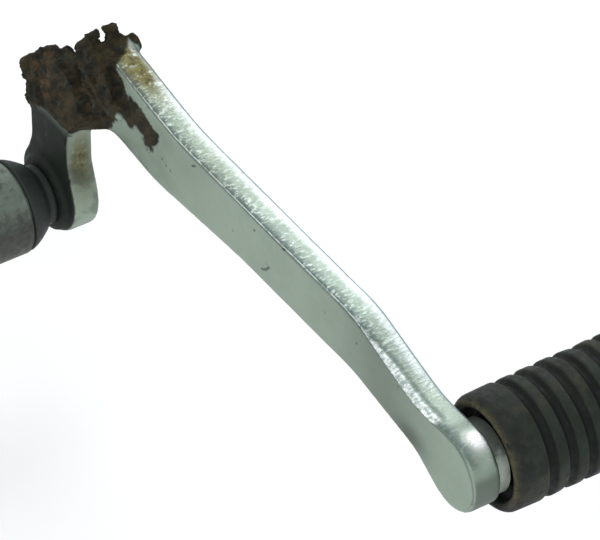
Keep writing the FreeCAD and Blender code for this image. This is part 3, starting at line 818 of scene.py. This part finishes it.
def paint_arm(mesh):
    """Store every mask that the arm's material reads."""
    points = points_of(mesh)
    normals = normals_of(mesh)
    along = points[:, 0] / MM
    set_mask(mesh, "rust", crust_mask(points)[0])
    set_mask(mesh, "warm", np.exp(-((along + 7) / 7.5) ** 2 - ((points[:, 2] / MM - 0.5) / 6.5) ** 2)
             + 0.5 * bell(along, 7.5, 3.0) * bell(points[:, 2] / MM, 1.5, 3.5))
    upward = ramp(normals[:, 2], 0.45, 0.75) * ramp(along, 0.0, 10.0)
    set_mask(mesh, "crest", upward)
    set_mask(mesh, "bright", ramp(-along, -121, -110))
    leaning = np.where(normals[:, 2] > -0.2, np.hypot(normals[:, 0], normals[:, 2]), 0)
    set_mask(mesh, "turned", np.where(along > 12, np.arctan2(leaning, -normals[:, 1]) / (math.pi / 2), 0))
    spark, tan, boss_shade = boss_masks(points, normals)
    faded = 1.3 * bell(along, 19, 9.0) + 0.25 * bell(along, 45, 14.0)
    inner = ramp(normals[:, 0], 0.6, 0.8) * bell(points[:, 2] / MM, -21, 7.0)
    middle_share = bell((points[:, 1] - PLATE_MID) / MM, 0.0, 2.9)
    set_mask(mesh, "stain", np.clip(upward * faded * middle_share + inner * middle_share + tan, 0, 1))
    set_mask(mesh, "spark", spark)
    set_mask(mesh, "grime_and_shade", np.clip(grime_and_shade_mask(points, normals) + boss_shade, 0, 1))
    past = (points[:, 1] - strip_edge(points)) / MM
    share = upward * ramp(along, STRIP_START / MM, 106)
    share = share * ramp(-along, -(STRIP_END + STRIP_FADE) / MM, -STRIP_END / MM)
    set_mask(mesh, "strip", share * ramp(-past, 0.0, 0.5) * 0.85)
    set_mask(mesh, "line", share * bell(past, 0.0, 0.42) * 0.6)
    set_mask(mesh, "mark", mark_distance(points, normals))


def arm_skin():
    """The whole arm: crust, strip, the bore and the room for the bolt's head, masks and material."""
    piece = rough_arm()
    lump_crust(piece.data)
    flatten_strip(piece.data)
    for near, far, radius in ((-CAP_DEPTH, -3.0, CAP_RADIUS * MM), (-3.2, 8.0, BUSH_RADIUS + 0.02 * MM)):
        room = bmesh.new()
        add_rod(room, on_plate(0, near, 0), on_plate(0, far, 0), radius, 64)
        subtract(piece, room)
    paint_arm(piece.data)
    set_smooth(piece.data)
    dress(piece, plated_arm())
    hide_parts("lever_arm")
    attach(piece, "lever")


# --- the toe rubber ----------------------------------------------------------------------------

RUBBER_LOW, RUBBER_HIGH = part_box("toe_rubber")
RUBBER_RADIUS = (RUBBER_HIGH.x - RUBBER_LOW.x) / 2 / MM
PIN_RADIUS = 5.0
GROOVES, GROOVE_START, GROOVE_PITCH, GROOVE_WIDTH = 7, 6.9, 4.2, 2.0
GROOVE_LIP = 0.3


def rib_profile():
    """The sleeve's outline from the pin outwards, as (radius, Y) in millimetres."""
    near = RUBBER_LOW.y / MM
    far = RUBBER_HIGH.y / MM
    radius = RUBBER_RADIUS
    profile = [(PIN_RADIUS, near + 2.7), (8.5, near + 2.7), (8.9, near + 2.3), (9.05, near + 0.9),
               (9.25, near + 0.35)]
    for step in range(6):
        angle = math.radians(15 + 15 * step)
        profile.append((radius - 1.9 + 1.9 * math.sin(angle), near + 2.0 - 2.0 * math.cos(angle)))
    width, soft = GROOVE_WIDTH, GROOVE_LIP
    for groove in range(GROOVES):
        start = near + GROOVE_START + GROOVE_PITCH * groove
        profile += [
            (radius, start - soft - 0.4), (radius, start - soft), (radius - 0.12, start - 0.08),
            (radius - 0.4, start + 0.1), (radius - 1.0, start + 0.35), (radius - 1.05, start + width - 0.35),
            (radius - 0.4, start + width - 0.1), (radius - 0.12, start + width + 0.08),
            (radius, start + width + soft), (radius, start + width + soft + 0.4),
        ]
    for step in range(7):
        angle = math.radians(15 * step)
        profile.append((radius - 2.2 + 2.2 * math.cos(angle), far - 2.2 + 2.2 * math.sin(angle)))
    profile += [(7.0, far + 0.15), (4.0, far + 0.25), (1.5, far + 0.3), (0.4, far + 0.3)]
    profile += [(0.4, far - 2.5), (PIN_RADIUS, far - 2.5)]
    return profile


def toe_rubber():
    """The ribbed sleeve, slightly uneven, dusty and brown round its rim, with painted shade in its depths and
    on its lower half.
    """
    def wobble(angle, radius, along):
        if radius <= PIN_RADIUS:
            return radius, along
        shape = Vector((math.cos(angle), math.sin(angle), along * 0.11))
        share = min(1.0, (radius - PIN_RADIUS) / 4)
        return (radius + 0.16 * share * noise.noise(shape * 2.3),
                along + 0.12 * share * noise.noise(shape * 1.7 + Vector((7, 0, 0))))

    piece = lathe("toe_rubber_sleeve", rib_profile(), PEG, 192, wobble)
    mesh = piece.data
    points = points_of(mesh)
    radius = np.hypot(points[:, 0] - PEG.x, points[:, 2] - PEG.z) / MM
    along = points[:, 1] / MM
    near = RUBBER_LOW.y / MM
    rim = 1.2 * bell(radius, 10.0, 0.8) * ramp(-along, -near - 2.2, -near - 1.4)
    # Painted shade in the recess round the washer.
    hollow = ramp(-radius, -9.2, -8.7) * ramp(-along, -near - 4, -near - 3)
    body_dirt = 0.30 * ramp(fractal(points, 9 * MM, 3, 8.0), 0.0, 0.5)
    set_mask(mesh, "dirt", np.clip(rim + body_dirt, 0, 1))
    # Painted shade in the grooves and on the lower half; darker along the near end, less on the brown rim.
    grooves = ramp(-radius, -RUBBER_RADIUS + 0.14, -RUBBER_RADIUS + 0.6) * ramp(along, near + 5, near + 6.5)
    grooves *= ramp(-along, -RUBBER_HIGH.y / MM + 3, -RUBBER_HIGH.y / MM + 4) * 0.85
    below = 0.95 * ramp(PEG.z - points[:, 2], 1 * MM, 9 * MM)
    lip = 0.5 * ramp(-along, -near - 4, -near - 1) * (1 - 0.9 * np.clip(rim, 0, 1))
    set_mask(mesh, "depth_shade", np.clip(grooves + hollow + below + lip, 0, 1))
    set_smooth(mesh)
    dress(piece, rubber("ribbed_rubber"))
    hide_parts("toe_rubber")
    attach(piece, "lever")


# --- the dust boot -----------------------------------------------------------------------------

BOOT_WALL = 0.75


def dust_boot():
    """A thin flexible sleeve from the stud's neck to the housing, with one soft fold."""
    low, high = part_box("dust_boot")
    neck, base = high.y / MM, low.y / MM
    length = neck - base
    outside = [
        (5.95, neck - 0.02), (6.25, neck - 0.12), (6.32, neck - 0.5), (6.3, neck - 1.0), (6.15, neck - 1.35),
        (6.25, neck - 1.7), (6.7, neck - 2.2), (7.35, neck - 0.37 * length), (8.0, neck - 0.5 * length),
        (8.6, neck - 0.63 * length), (9.1, neck - 0.76 * length), (9.42, neck - 0.87 * length),
        (9.55, base + 0.55), (9.58, base + 0.2), (9.4, base + 0.02),
    ]
    inside = [(radius - BOOT_WALL, along) for radius, along in reversed(outside[5:12])]
    foot = [(8.78, base + 0.02), (8.78, base + 0.9)]
    collar = [(5.8, neck - 1.2), (5.8, neck - 0.1)]
    profile = outside + foot + inside + collar
    piece = lathe("dust_boot_sleeve", profile, JOINT, 128)
    set_smooth(piece.data)
    dress(piece, rubber("boot_rubber", brown=False, low=BOOT_BLACK))
    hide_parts("dust_boot")
    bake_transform(piece)


# --- the CAD nodes that stay -------------------------------------------------------------------

FINISHES = {
    # material: nodes, darkest and palest colour, roughness, share of rust
    "steel_head": (("pivot_bolt", "pivot_washer_outer"), (0.11, 0.10, 0.09), (0.20, 0.18, 0.16), 0.55, 0.16),
    "steel_washer": (("pivot_washer_inner", "pivot_spring_washer", "preload_spring"),
                     (0.24, 0.24, 0.22), (0.38, 0.38, 0.35), 0.45, 0.10),
    "steel_pin": (("toe_pin",), (0.30, 0.31, 0.29), (0.42, 0.43, 0.41), 0.42, 0.05),
    "steel_stud": (("ball_stud",), (0.20, 0.21, 0.20), (0.34, 0.35, 0.33), 0.36, 0.04),
    "steel_nut": (("stud_nut",), (0.28, 0.28, 0.26), (0.46, 0.46, 0.43), 0.42, 0.10),
    "steel_cap": (("end_cap", "cap_snap_ring", "boot_neck_ring", "boot_base_ring"),
                  (0.12, 0.13, 0.12), (0.24, 0.25, 0.24), 0.42, 0.06),
    "bronze_bush": (("pivot_bush",), (0.30, 0.19, 0.09), (0.44, 0.29, 0.15), 0.42, 0.0),
}


def dress_nodes():
    """Give every CAD node that isn't replaced its material."""
    for name, (nodes, low, high, rough, rusty) in FINISHES.items():
        material = worn_metal(name, low, high, rough, rusty)
        for node in nodes:
            dress(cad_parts[node], material)
    seal = rubber("seal_rubber", dusty=0.4, brown=False)
    for node in ("pivot_seal_outer", "pivot_seal_inner"):
        dress(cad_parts[node], seal)
    dress(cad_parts["ball_seat"], seat_plastic())
    dress(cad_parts["joint_housing"], housing_steel())
    dress(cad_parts["toe_washer"], toe_washer_plating())


def seat_plastic():
    shader = Shader("seat_plastic")
    tint = shader.blend(shader.cloud(3.0), *ACETAL)
    return shader.finish(tint, 0.0, 0.45, shader.bump(shader.cloud(0.4), 0.02))


def heights_of(node):
    """Lowest and highest Z of a CAD node in its own coordinates."""
    low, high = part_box(node)
    to_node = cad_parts[node].matrix_world.inverted()
    return (to_node @ low).z, (to_node @ high).z


def toe_washer_plating():
    """Plating, darker on its upper part, with a few dark blots."""
    shader = Shader("toe_washer_plating")
    bottom, top = heights_of("toe_washer")
    tall = top - bottom
    patches = shader.cloud(2.2, 5.0, 0.65)
    plain = shader.blend(shader.between(patches, 0.35, 0.65), WASHER_DULL, WASHER_PALE)
    drift = shader.maths("MULTIPLY", shader.maths("SUBTRACT", patches, 0.5), 0.5 * tall)
    height = shader.maths("ADD", shader.axis("Z"), drift)
    # Darker on the upper part, with a ragged border.
    darker_above = shader.between(height, bottom + 0.70 * tall, bottom + 0.90 * tall, 0.0, 0.85)
    colour = shader.blend(darker_above, plain, WASHER_UPPER_TONE)
    blots = shader.between(shader.cloud(1.3, 6.0, 0.7), 0.58, 0.66, 0.0, 0.8)
    colour = shader.blend(blots, colour, GREASE_BLOT)
    rough = shader.level(darker_above, 0.34, 0.5)
    return shader.finish(colour, WASHER_METAL, rough, shader.bump(shader.cloud(0.6), 0.02))


def housing_steel():
    """Oily blackened steel with a fine worn mottle and tarnish; painted highlight on its upper side, painted
    shade below.
    """
    shader = Shader("housing_steel")
    broad = shader.between(shader.cloud(4.5, 5.0, 0.6), 0.3, 0.7)
    fine = shader.between(shader.cloud(0.8, 6.0, 0.75, shader.stretched(1.0, 0.6, 1.0)), 0.3, 0.7)
    bottom, top = heights_of("joint_housing")
    tall = top - bottom
    # Painted light: lit tones on the upper side, shaded tones below.
    upper = shader.between(shader.axis("Z"), bottom + 0.56 * tall, bottom + 0.97 * tall)
    colour = shader.blend(upper, shader.blend(broad, *HOUSING_SHADED), shader.blend(broad, *HOUSING_LIT))
    colour = shader.blend(shader.maths("MULTIPLY", fine, 0.2), colour, HOUSING_WORN)
    tarnish = shader.between(shader.cloud(3.0, 6.0, 0.7), 0.46, 0.62, 0.0, 0.6)
    colour = shader.blend(tarnish, colour, HOUSING_TARNISH)
    rough = shader.between(shader.cloud(1.5, 5.0, 0.6), 0.3, 0.7, 0.46, 0.62)
    normal = shader.bump(shader.cloud(0.7, 6.0, 0.7), 0.06)
    return shader.finish(colour, HOUSING_METAL, rough, normal)


# --- floor, light and camera -------------------------------------------------------------------

CAMERA_OFFSET = Vector((0.6513, -0.3709, 0.6054))  # from the pivot at the middle of the plate
CAMERA_AZIMUTH = 57.18
CAMERA_ELEVATION = 41.10
CAMERA_LENS = 300.0
CAMERA_SENSOR = 36.0
FLOOR_GAP = 0.03
FLOOR_HALF = 4.0
SKY = (0.97, 0.99, 1.0, 1)
SKY_STRENGTH = 0.9


def make_floor():
    form = bmesh.new()
    bmesh.ops.create_grid(form, x_segments=1, y_segments=1, size=FLOOR_HALF)
    floor = from_bmesh("floor", form)
    floor.location = (0, 0, CAD_BOX[0].z - FLOOR_GAP)
    shader = Shader("floor")
    tone = shader.blend(shader.cloud(300.0, 2.0), *FLOOR_TONES)
    dress(floor, shader.finish(tone, 0.0, 0.9))


def softbox(name, place, aim, size, power):
    """A round soft lamp at a place counted from the point it aims at."""
    lamp = bpy.data.lights.new(name, "AREA")
    lamp.shape = "DISK"
    lamp.size = size
    lamp.energy = power
    holder = bpy.data.objects.new(name, lamp)
    bpy.context.scene.collection.objects.link(holder)
    holder.location = aim + place
    holder.rotation_mode = "QUATERNION"
    holder.rotation_quaternion = (-place).to_track_quat("-Z", "Y")


def make_light():
    world = bpy.data.worlds.new("studio")
    bpy.context.scene.world = world
    world.use_nodes = True
    background = world.node_tree.nodes["Background"]
    background.inputs["Color"].default_value = SKY
    background.inputs["Strength"].default_value = SKY_STRENGTH
    aim = (CAD_BOX[0] + CAD_BOX[1]) / 2
    softbox("key", Vector((-0.50, 0.35, 0.62)), aim, size=0.45, power=1.7)
    softbox("fill", Vector((0.6, -0.7, 0.7)), aim, size=0.6, power=2.5)


def make_camera():
    camera = bpy.data.cameras.new("camera")
    camera.sensor_width = CAMERA_SENSOR
    camera.lens = CAMERA_LENS
    camera.clip_start = 0.05
    camera.clip_end = 20.0
    holder = bpy.data.objects.new("camera", camera)
    bpy.context.scene.collection.objects.link(holder)
    turn, lift = math.radians(CAMERA_AZIMUTH), math.radians(CAMERA_ELEVATION)
    looking = Vector((-math.sin(turn) * math.cos(lift), math.cos(turn) * math.cos(lift), -math.sin(lift)))
    holder.location = on_plate(0, 0, 0) + CAMERA_OFFSET
    holder.rotation_mode = "QUATERNION"
    holder.rotation_quaternion = looking.to_track_quat("-Z", "Y")
    bpy.context.scene.camera = holder


bpy.context.scene.view_settings.view_transform = "Standard"
make_camera()
make_floor()
make_light()
arm_skin()
toe_rubber()
dust_boot()
dress_nodes()
